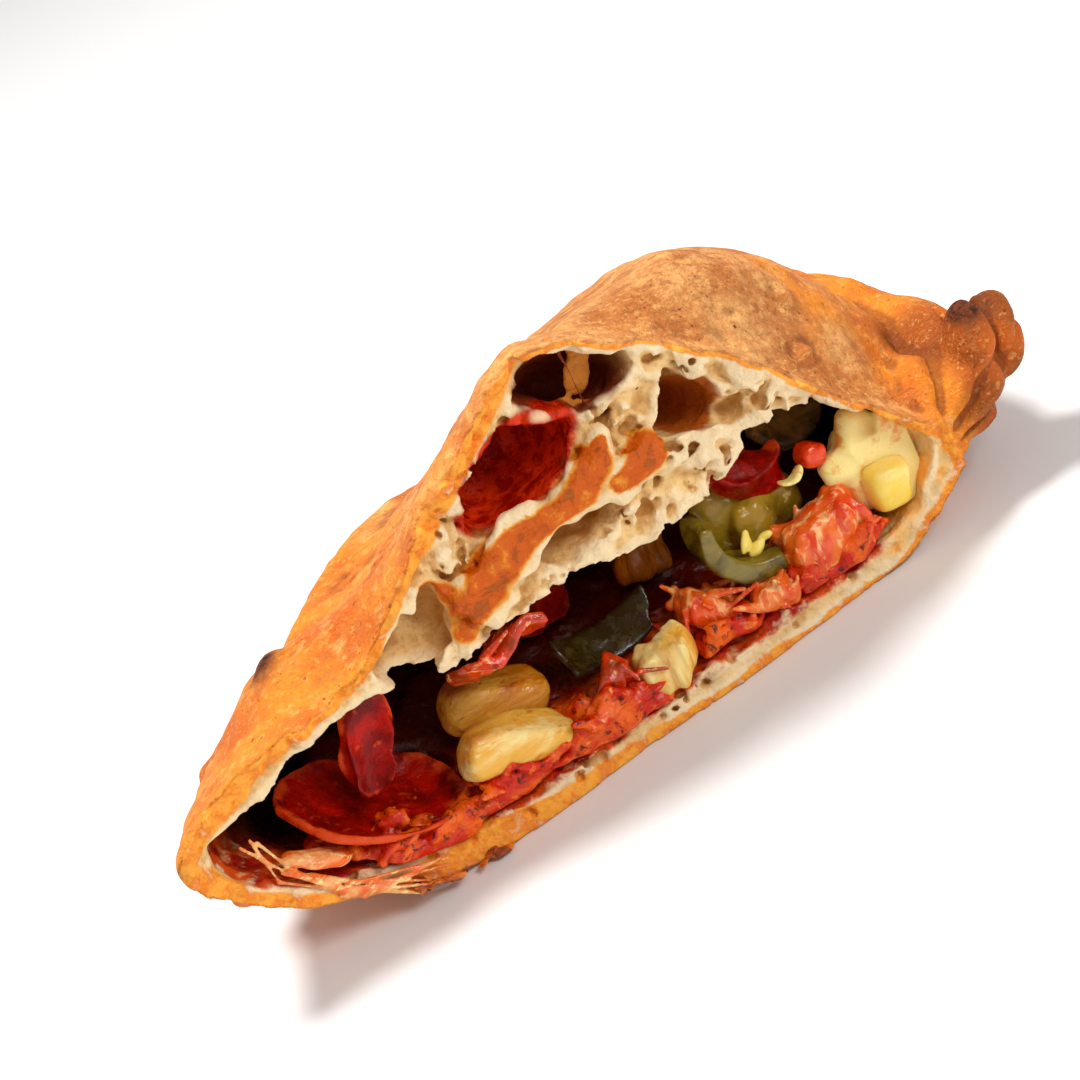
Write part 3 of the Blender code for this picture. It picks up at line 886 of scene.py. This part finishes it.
MUSHROOM_DARK = tone(60, 42, 16)
ONION = tone(246, 210, 120)

SAUCE_BITS = 900


def grown(
    node, finish, layers, soften=0.45, extra=None, ending="piece", step=FILLING_FINE, swell=0.0, room=ROOM
):
    """A CAD node's solid, softened and swollen, with noise layers (size, height, seed) and extra shapes."""
    points, faces = node_mesh(node)
    block = Block(points.min(0) - room, points.max(0) + room, step)
    field = blur(block.distance(points, faces, 3.0), soften / step) - np.float32(swell)
    for size, height, seed in layers:
        field -= np.float32(height) * block.noise(size, seed)
    if extra:
        extra(block, field)
    points, faces = block.skin(field)
    return new_piece(f"{node}_{ending}", points, faces, finish, SLOTS[node], [node])


def food_look(
    name, base, other, third, size, rough, relief, inner=0.0, levels=(0.5, 0.5), specular=0.5, stretch=None
):
    """Mottled food: base with clouds of other, size millimetres across, and small flecks of third.

    relief is in millimetres, inner is the share of light that spreads inside, and levels are the noise levels
    from which the clouds and the flecks come in.
    """
    look = Look(name)
    cloud = look.grain(size, 4, 0.6, 0.6, stretch)
    fleck = look.grain(size * 0.34, 4, 0.6, 0.3, stretch)
    clouds_from, flecks_from = levels
    colour = look.tinted(
        base,
        (cloud, clouds_from - 0.13, clouds_from + 0.13, 1.0, other),
        (fleck, flecks_from + 0.02, flecks_from + 0.18, 1.0, third),
    )
    normal = look.bump(look.mix(0.5, cloud, fleck), relief)
    shine = look.span(fleck, 0.3, 0.7, rough * 0.7, rough * 1.4)
    return look.done(colour, shine, normal, specular, inner)


def pepperoni_look():
    look = Look("pepperoni")
    rim = look.maths("ADD", look.painted("rim"), look.span(look.grain(3.5, 3), 0.3, 0.7, -0.08, 0.08))
    cloud = look.grain(6, 4, 0.6, 0.4)
    crumbs = look.grain(1.6, 4, 0.65)
    colour = look.tinted(
        PEPPERONI,
        (cloud, 0.35, 0.65, 1.0, PEPPERONI_DEEP),
        (crumbs, 0.58, 0.72, 0.7, PEPPERONI_RIM),
        (rim, 0.88, 1.02, 1.0, PEPPERONI_RIM),
    )
    normal = look.bump(look.mix(0.4, crumbs, cloud), 0.45)
    shine = look.span(crumbs, 0.3, 0.7, 0.2, 0.4)
    return look.done(colour, shine, normal, specular=0.2, inner=0.08, glow=MEAT_GLOW)


def wide_fold(block, field):
    """The slice that hangs from the roof is folded wide at its top."""
    egg(block, field, (41.0, 10.4, 30.5), (4.6, 1.1, 9.0), (0, 30, 0), soft=3.0)
    field -= 0.3 * block.noise((2, 2, 6), 58)


def whole_slice(block, field):
    """Closes the slot that the hanging slice leaves in the one below it."""
    egg(block, field, (43.0, 20.0, 12.0), (4.0, 4.0, 1.0), (10, 27.5, 0), soft=1.0)


def wide_slice(block, field):
    """The slice at the right shows wider than it is thick."""
    egg(block, field, (126.0, 14.8, 26.0), (7.6, 2.0, 4.2), (0, 34, 0), soft=3.0)
    field -= 0.3 * block.noise(2.6, 59)


def build_pepperoni():
    finish = pepperoni_look()
    shapes = {"floor": whole_slice, "hanging": wide_fold, "right": wide_slice}
    for number, name in enumerate(("floor", "hanging", "back", "right")):
        node = "pepperoni_" + name
        layers = ((9, 0.45, 50 + number), (3.5, 0.25, 60 + number), (1.4, 0.10, 70 + number))
        piece = grown(node, finish, layers, 0.35, shapes.get(name), "slice")
        points = mesh_points(piece.data)
        spread = points - points.mean(0)
        _, axes = np.linalg.eigh(spread.T @ spread)
        flat = spread @ axes[:, 1:]  # leaves out the slice's thin way, which comes first
        paint(piece, "rim", np.linalg.norm(flat / np.percentile(np.abs(flat), 99.5, axis=0), axis=1))


def pineapple_look(name, base, pale, dark, stretch):
    look = Look(name)
    cloud = look.grain(7, 4, 0.6, 0.4, stretch)
    fibre = look.grain(1.7, 4, 0.6, 0.3, stretch)
    colour = look.tinted(
        base,
        (cloud, 0.4, 0.62, 1.0, pale),
        (fibre, 0.56, 0.70, 0.75, dark),
        (fibre, 0.42, 0.30, 0.7, pale),
    )
    colour = look.mix(look.painted("edge"), colour, dark)
    normal = look.bump(look.mix(0.3, fibre, cloud), 0.7)
    shine = look.span(fibre, 0.3, 0.7, 0.14, 0.34)
    return look.done(colour, shine, normal, specular=0.38, inner=0.35, glow=FRUIT_GLOW)


def tapered(tilt):
    """Cuts a chunk down to a wedge that leans by tilt degrees and thins towards +X, with a blunt end."""

    def facets(block, field):
        middle = block.low + block.step * np.array(block.shape) / 2
        x, y, z = (line - m for line, m in zip(block.axes(), middle))
        slope = math.radians(tilt)
        along = x * math.cos(slope) - z * math.sin(slope)
        across = x * math.sin(slope) + z * math.cos(slope)
        top = across * 0.96 - 0.25 * y - (3.5 - 0.20 * along)
        under = -across * 0.96 + 0.2 * y - (4.0 - 0.08 * along)
        front = -y + 0.25 * across - 4.2
        blunt = -along + 0.25 * across - 10.2
        for facet in (top, under, front, blunt):
            field[...] = -blend_low(-field, -facet.astype(np.float32), 1.2)

    return facets


def build_pineapple():
    """Two lying chunks with fibres along x, and two standing ones with fibres along z."""
    long = (((9, 5, 4), 0.9, 80), ((6, 1.8, 1.5), 0.42, 81), ((2.5, 0.9, 0.8), 0.10, 82))
    tall = (((1.5, 2.0, 10), 0.8, 92), ((0.9, 1.0, 5), 0.35, 93), (4, 0.9, 94))
    pale = pineapple_look("pineapple_pale", PINEAPPLE, PINEAPPLE_PALE, PINEAPPLE_AMBER, (0.3, 1, 1))
    amber = pineapple_look("pineapple_amber", PINEAPPLE_AMBER, PINEAPPLE, MEAT_BROWN, (0.3, 1, 1))
    shaded = pineapple_look("pineapple_shaded", PINEAPPLE_SHADED, PINEAPPLE_AMBER, MEAT_BROWN, (1, 1, 0.3))
    upright = pineapple_look("pineapple_upright", PINEAPPLE, PINEAPPLE_PALE, CHEESE_BROWN, (1, 1, 0.25))
    for name, finish, layers, shape, across in (
        ("front", pale, long, tapered(20), 2),
        ("behind", amber, long, tapered(16), 2),
        ("shadow", shaded, tall, None, 0),
        ("fibrous", upright, tall, None, 0),
    ):
        piece = grown("pineapple_" + name, finish, layers, 0.6, shape, "chunk")
        line = mesh_points(piece.data)[:, across]
        low, high = line.min(), line.max()
        paint(piece, "edge", 0.8 * ease(0.75, 1.0, np.abs((line - (low + high) / 2) / (high - low) * 2)))


# The wide inner wall of the pepper, behind the ring and the ham: centre, radii and turn.
PEPPER_WALL = (
    ((129.5, 17.0, 18.5), (7.0, 2.4, 4.6), (0, 34, 0)),
    ((119.5, 18.0, 20.5), (5.0, 2.2, 7.0), (0, -20, 0)),
    ((123.5, 18.5, 13.5), (7.0, 2.2, 4.0), (0, 20, 0)),
)

# The flat yellow seeds inside the pepper ring.
SEEDS = (
    ((119.4, 6.4, 17.8), (2.2, 0.8, 1.2), (10, -30, 0)),
    ((118.2, 6.8, 19.9), (1.2, 0.6, 1.9), (0, 40, 20)),
    ((121.8, 6.6, 19.0), (1.8, 0.7, 1.0), (0, 10, -20)),
)


def pepper_wall(block, field):
    eggs(block, field, PEPPER_WALL, 2.5)
    field -= 0.7 * block.noise((3, 3, 9), 108)


def build_pepper():
    colours = (PEPPER_GREEN, PEPPER_DARK, PEPPER_FLESH)
    skin = food_look("green_pepper_skin", *colours, 6, 0.2, 0.3, 0.15, (0.52, 0.6), 0.6)
    colours = (PEPPER_FLESH, PEPPER_GREEN, CHEESE)
    flesh = food_look("green_pepper_flesh", *colours, 6, 0.2, 0.4, 0.4, (0.56, 0.56))
    shaded = food_look("green_pepper_shaded", PEPPER_SHADED, CHAR_AND_SHADE, PEPPER_DARK, 6, 0.25, 0.4)
    ripples = ((7, 0.6, 103), ((6, 1.5, 3), 0.45, 104), (1.6, 0.12, 107))
    lumps = ((5, 1.0, 105), (2.2, 0.4, 106))
    grown("pepper_strip", shaded, ((8, 0.6, 101), (3, 0.25, 102)))
    grown("pepper_ring", skin, ripples, swell=0.8)
    grown("pepper_flesh", flesh, lumps, 0.5, pepper_wall)
    seed = food_look("pepper_seed", SEED, CHEESE_YELLOW, CHEESE, 2, 0.3, 0.1, 0.3)
    block = Block((112, 1, 12), (128, 12, 26), FILLING_FINE * 0.7)
    field = block.open_field()
    eggs(block, field, SEEDS)
    field -= 0.3 * block.noise(1.3, 111)
    new_piece("pepper_seeds", *block.skin(field), seed, "green_pepper")


def ham_fibres(seed, count, reach):
    """Torn strands that stand out of a piece of ham."""

    def fibres(block, field):
        low, high = block.low + ROOM, block.low + block.step * np.array(block.shape) - ROOM
        draw = np.random.default_rng(seed)
        for _ in range(count):
            start = draw.uniform(low, high)
            if block.sample(field, [start])[0] > 0.8:
                continue
            end = start + draw.normal((0.3, -0.5, -0.1), (1.0, 0.5, 0.8)) * reach
            rod(block, field, start, end, draw.uniform(0.5, 1.1), draw.uniform(0.25, 0.5), soft=0.6)

    return fibres


def build_ham():
    colours = (HAM, HAM_RED, HAM_PALE)
    torn = food_look("ham", *colours, 4.5, 0.22, 0.7, 0.2, (0.53, 0.48), 0.6, (0.7, 1, 0.35))
    edge = food_look("ham_edge", HAM_RED, MEAT_BROWN, HAM_PALE, 5, 0.2, 0.6, 0.15, (0.52, 0.54), 0.6)
    shred = ((4, 1.2, 121), ((1.2, 1.4, 5), 0.65, 122), (0.9, 0.15, 123))
    thin = ((6, 0.5, 124), (2.0, 0.35, 125))
    for node, finish, layers, soften, seed, fibres, reach in (
        ("ham_chunk", torn, shred, 0.4, 131, 30, 2.6),
        ("ham_shreds", torn, shred, 0.4, 132, 40, 3.2),
        ("ham_scrap", torn, shred, 0.4, 133, 20, 2.8),
        ("ham_strip", edge, thin, 0.4, 134, 12, 3.5),
        ("ham_under_crumb", edge, thin, 0.35, 135, 14, 3.5),
    ):
        grown(node, finish, layers, soften, ham_fibres(seed, fibres, reach))


# The pale melt round the yellow block and up to the crust: centre, radii and turn.
CHEESE_CORNER = (
    ((141.5, 8.5, 20.5), (5.0, 3.6, 4.4), (0, 20, 0)),
    ((147.5, 8.5, 21.5), (6.0, 4.0, 4.2), (0, 34, 0)),
    ((153.5, 7.0, 17.5), (4.8, 4.6, 5.4), (0, 34, 0)),
    ((155.5, 5.5, 11.5), (3.8, 4.4, 4.6), (0, 34, 0)),
    ((150.5, 6.5, 8.6), (6.0, 4.2, 3.0), (0, 34, 0)),
    ((143.5, 8.0, 13.0), (4.5, 3.4, 4.5), (0, 0, 0)),
    ((151.5, 6.0, 25.5), (2.6, 3.0, 5.0), (0, 10, 0)),
    ((147.6, 8.8, 26.5), (4.6, 2.8, 4.6), (0, 30, 0)),
)

# The ways of the strings that run from the nose down over the edge of the pepperoni.
THREADS = (
    ((13.5, 5, 28.5), (16.5, 2.5, 21), (22, 0.6, 13), (32, -0.4, 6)),
    ((16.5, 2.0, 22), (24, 0.4, 12), (36, -0.6, 5)),
    ((19, 3, 17), (26, 1, 10.5), (40, -0.3, 5.5)),
)
THREADS_A_WAY = 3


def cheese_corner(block, field):
    eggs(block, field, CHEESE_CORNER, 2.0)
    field -= 0.9 * block.noise(5, 145) + 0.4 * block.noise(2.2, 146)


def cheese_threads(block, field):
    draw = np.random.default_rng(147)
    for way in THREADS * THREADS_A_WAY:
        strand = np.array(way) + draw.normal(0, (1.0, 0.6, 1.0), (len(way), 3))
        for start, end in zip(strand, strand[1:]):
            rod(block, field, start, end, 0.36, 0.28, soft=0.6)


def build_cheese():
    pale = food_look("melted_cheese", CHEESE, CHEESE, CHEESE_BROWN, 12, 0.24, 0.6, 0.3, (0.5, 0.52), 0.4)
    colours = (CHEESE_YELLOW, CHEESE, CHEESE_YELLOW)
    yellow = food_look("cheese_block", *colours, 7, 0.22, 0.4, 0.3, (0.55, 0.6), 0.4)
    colours = (HAM_PALE, SAUCE_ORANGE, CHEESE)
    strings = food_look("cheese_strings", *colours, 3.0, 0.2, 0.5, 0.2, stretch=(0.35, 1, 1))
    soft = ((7, 0.8, 141), (2.5, 0.3, 142))
    grown("cheese_melt", pale, soft, 0.8, cheese_corner)
    grown("cheese_block", yellow, soft, 0.8, swell=0.7)
    strands = (((8, 2, 1.4), 0.5, 143),)
    grown("cheese_pull", strings, strands, 0.5, cheese_threads, room=15.0)


def build_small_pieces():
    tomato = food_look("tomato", TOMATO, SAUCE_RED, SAUCE_ORANGE, 5, 0.18, 0.3, 0.3)
    mushroom = food_look("mushroom", MUSHROOM, MUSHROOM_DARK, CRUMB_SHADE, 6, 0.35, 0.4, 0.1, (0.5, 0.6))
    onion = food_look("onion", ONION, CHEESE, CHEESE_BROWN, 4, 0.2, 0.3, 0.4)
    grown("tomato", tomato, ((4, 0.5, 151), (1.6, 0.2, 152)), 0.5)
    grown("mushroom", mushroom, ((5, 0.4, 153), (1.8, 0.15, 154)), 0.5)
    grown("onion", onion, ((3, 0.3, 155), (1.4, 0.1, 156)), 0.35)


def sauce_lumps(block, field):
    """Bits of tomato and meat in the sauce, thickest along the cut, where it slopes back."""
    x, y, z = block.axes()
    lowest = block.low[2] + ROOM
    slope = (0.35 * (z - lowest - 5.0) - y + 0.6 + 0.0 * x) * ease(20, 45, x)
    np.maximum(field, np.where(z > 22, -FAR, slope).astype(np.float32), out=field)
    draw = np.random.default_rng(161)
    for _ in range(SAUCE_BITS):
        spot_x, spot_y = draw.uniform(24, 148), 0.6 + draw.exponential(6)
        column = (int((spot_x - block.low[0]) / block.step), int((spot_y - block.low[1]) / block.step))
        if not (0 <= column[0] < block.shape[0] and 0 <= column[1] < block.shape[1]):
            continue
        inside = np.nonzero(field[column[0], column[1]] < 0)[0]
        if not len(inside):
            continue
        top = block.low[2] + block.step * inside[-1]
        size = draw.uniform(0.5, 1.5)
        radii = size * np.array([draw.uniform(0.7, 2.6), draw.uniform(0.6, 1.2), draw.uniform(0.4, 0.9)])
        egg(block, field, (spot_x, spot_y, top), radii, draw.uniform(-50, 50, 3), soft=0.5)


def build_sauce():
    look = Look("tomato_sauce")
    cloud = look.grain(8, 4, 0.6, 0.8)
    bits = look.grain(2.2, 5, 0.65, 0.6)
    colour = look.tinted(
        SAUCE_RED,
        (cloud, 0.44, 0.62, 1.0, SAUCE_ORANGE),
        (bits, 0.56, 0.66, 0.9, HAM),
        (bits, 0.66, 0.76, 0.9, CHEESE),
        (bits, 0.46, 0.36, 0.9, SAUCE_DARK),
    )
    # painted shade: the sauce near-black further back inside the calzone
    colour = look.mix(look.painted("behind"), colour, SAUCE_DARK)
    normal = look.bump(look.mix(0.5, bits, look.grain(1.0, 4)), 0.6)
    shine = look.span(bits, 0.3, 0.7, 0.1, 0.3)
    finish = look.done(colour, shine, normal, specular=0.3, inner=0.1, glow=MEAT_GLOW, coat=0.12)
    layers = ((8, 0.8, 162), (3.5, 0.5, 163), (1.6, 0.2, 164))
    piece = grown("sauce", finish, layers, 0.8, sauce_lumps, "bed", SAUCE_FINE)
    # painted shade: how far back the sauce lies, from 7 to 20 mm behind the cut
    paint(piece, "behind", ease(7, 20, mesh_points(piece.data)[:, 1]))


# Torn, charred flakes of the base crust that stick out under the cut's left end: centre, radii and turn.
FLAKES = (
    ((34.0, -0.8, 5.2), (2.6, 1.3, 0.4), (25, 20, -10)),
    ((38.0, -0.9, 3.6), (2.4, 1.2, 0.4), (-15, 30, 15)),
    ((42.0, -1.2, 2.2), (3.2, 1.2, 0.4), (20, 12, -5)),
    ((46.0, -1.0, 1.4), (2.6, 1.4, 0.4), (-25, -10, 20)),
    ((50.0, -1.0, 0.9), (2.2, 1.1, 0.35), (10, 6, -15)),
)


def build_flakes():
    finish = food_look("charred_flake", EDGE_ORANGE, CRISP_DARK, CHAR_AND_SHADE, 3, 0.6, 0.4, 0.05)
    block = Block((26, -7, -0.8), (57, 5, 12), FILLING_FINE * 0.8)
    field = block.open_field()
    eggs(block, field, FLAKES, 0.3)
    field -= 0.35 * block.noise(1.8, 182) + 0.15 * block.noise(0.9, 183)
    field = np.maximum(field, 0.2 - block.axis(2))
    new_piece("base_crust_flakes", *block.skin(field), finish, "crust")


# ---- the scene ----

SKY = 0.38
LIT_SPOT = (0, 0, 0.03)  # the point that the lamps aim at
LENS = 89.0
EYE = (-0.0960, -0.4122, 0.2469)  # the camera's place, in metres
AIM = (88.0, 22.0, 36.0)  # what it looks at, in section millimetres
PICTURE_RIGHT = (0.785404, -0.497532, -0.368243)  # the direction that runs to the right in the picture


def stage():
    bpy.ops.mesh.primitive_plane_add(size=4.0, location=(0, 0, 0))
    floor = bpy.context.object
    floor.name = "floor"
    floor.data.materials.append(Look("pale_floor").done(tone(236, 234, 232), 0.6))


def soft_light(name, spot, size, watts):
    data = bpy.data.lights.new(name, "AREA")
    data.shape = "DISK"
    data.size = size
    data.energy = watts
    lamp = put(name, data)
    lamp.location = spot
    lamp.rotation_euler = (Vector(LIT_SPOT) - Vector(spot)).to_track_quat("-Z", "Y").to_euler()


def lighting():
    world = bpy.data.worlds.new("studio")
    bpy.context.scene.world = world
    world.use_nodes = True
    background = world.node_tree.nodes["Background"]
    background.inputs["Color"].default_value = (1, 1, 1, 1)
    background.inputs["Strength"].default_value = SKY
    soft_light("key", (-0.15, 0.2, 0.85), 0.25, 8.8)
    soft_light("front", (0.4, -0.7, 0.7), 0.4, 4.8)


def camera():
    """Looks at the cut from the photograph's angle, with its lean."""
    data = bpy.data.cameras.new("camera")
    data.lens = LENS
    data.sensor_width = 36.0
    data.clip_start = 0.01
    eye = put("camera", data)
    back = (Vector(EYE) - Vector(place([AIM])[0])).normalized()
    right = Vector(PICTURE_RIGHT)
    right = (right - back * right.dot(back)).normalized()
    turn = Matrix((right, back.cross(right), back)).transposed()
    eye.matrix_world = Matrix.Translation(EYE) @ turn.to_4x4()
    bpy.context.scene.camera = eye


bpy.context.scene.view_settings.view_transform = "Standard"
build_dough()
build_sauce()
build_pepperoni()
build_pineapple()
build_pepper()
build_ham()
build_cheese()
build_small_pieces()
build_flakes()
stage()
lighting()
camera()
